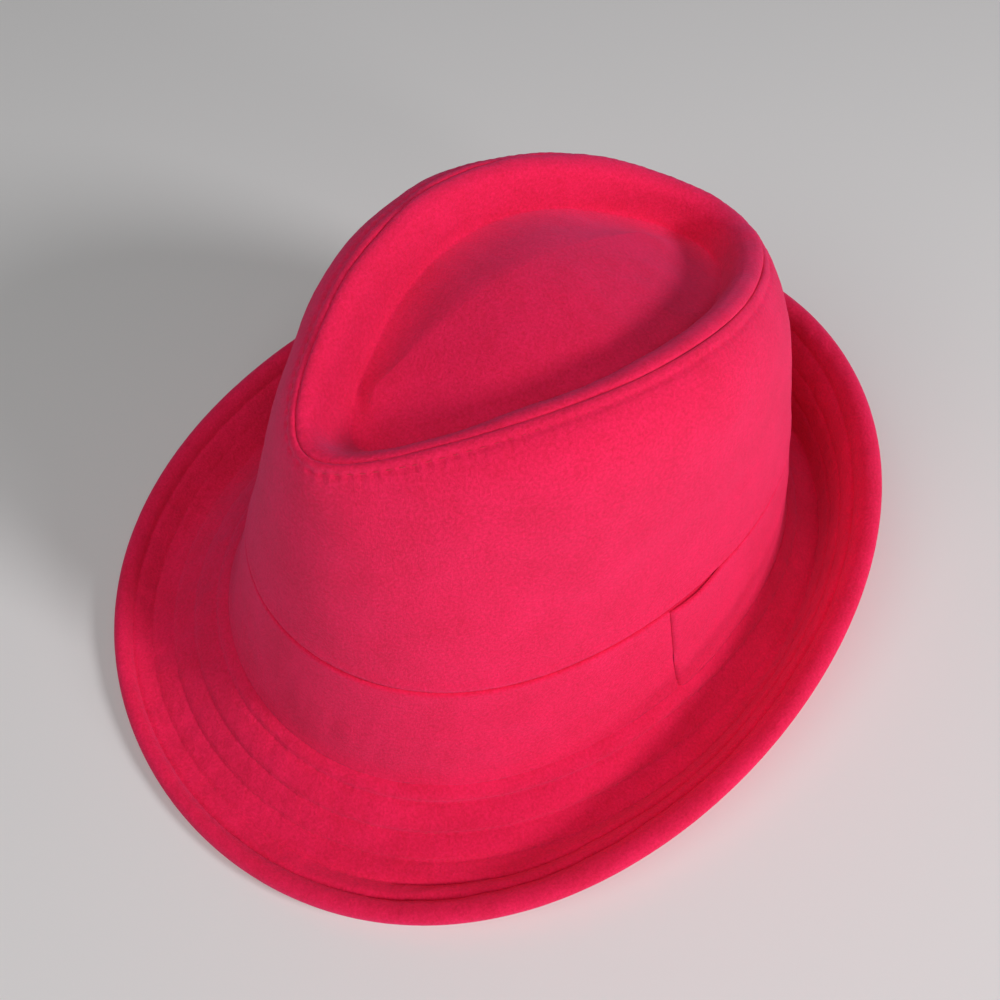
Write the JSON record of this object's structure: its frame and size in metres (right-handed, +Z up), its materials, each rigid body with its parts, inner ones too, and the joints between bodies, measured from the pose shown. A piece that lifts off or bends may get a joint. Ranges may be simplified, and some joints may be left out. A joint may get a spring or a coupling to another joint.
{
  "type": "fedora hat",
  "caption": "Soft red cloth fedora with a narrow turned-up brim, a teardrop dent in the crown and a matching band.",
  "frame": {"origin": "on the surface the hat rests on, under the middle of its box", "axes": "-Y to the front of the hat, +X to the wearer's left, +Z up"},
  "size_m": [0.2366, 0.2842, 0.1362],
  "materials": {
    "crown_side_cloth": "brushed wool-blend cloth, matt with a short nap",
    "crown_tip_cloth": "brushed wool-blend cloth, matt with a short nap",
    "hat_band_cloth": "brushed wool-blend cloth, matt with a short nap",
    "brim_cloth": "brushed wool-blend cloth, matt with a short nap"
  },
  "bodies": {
    "root": {"crown_side": "crown_side_cloth", "crown_tip": "crown_tip_cloth", "hat_band": "hat_band_cloth", "brim": "brim_cloth"}
  },
  "joints": []
}
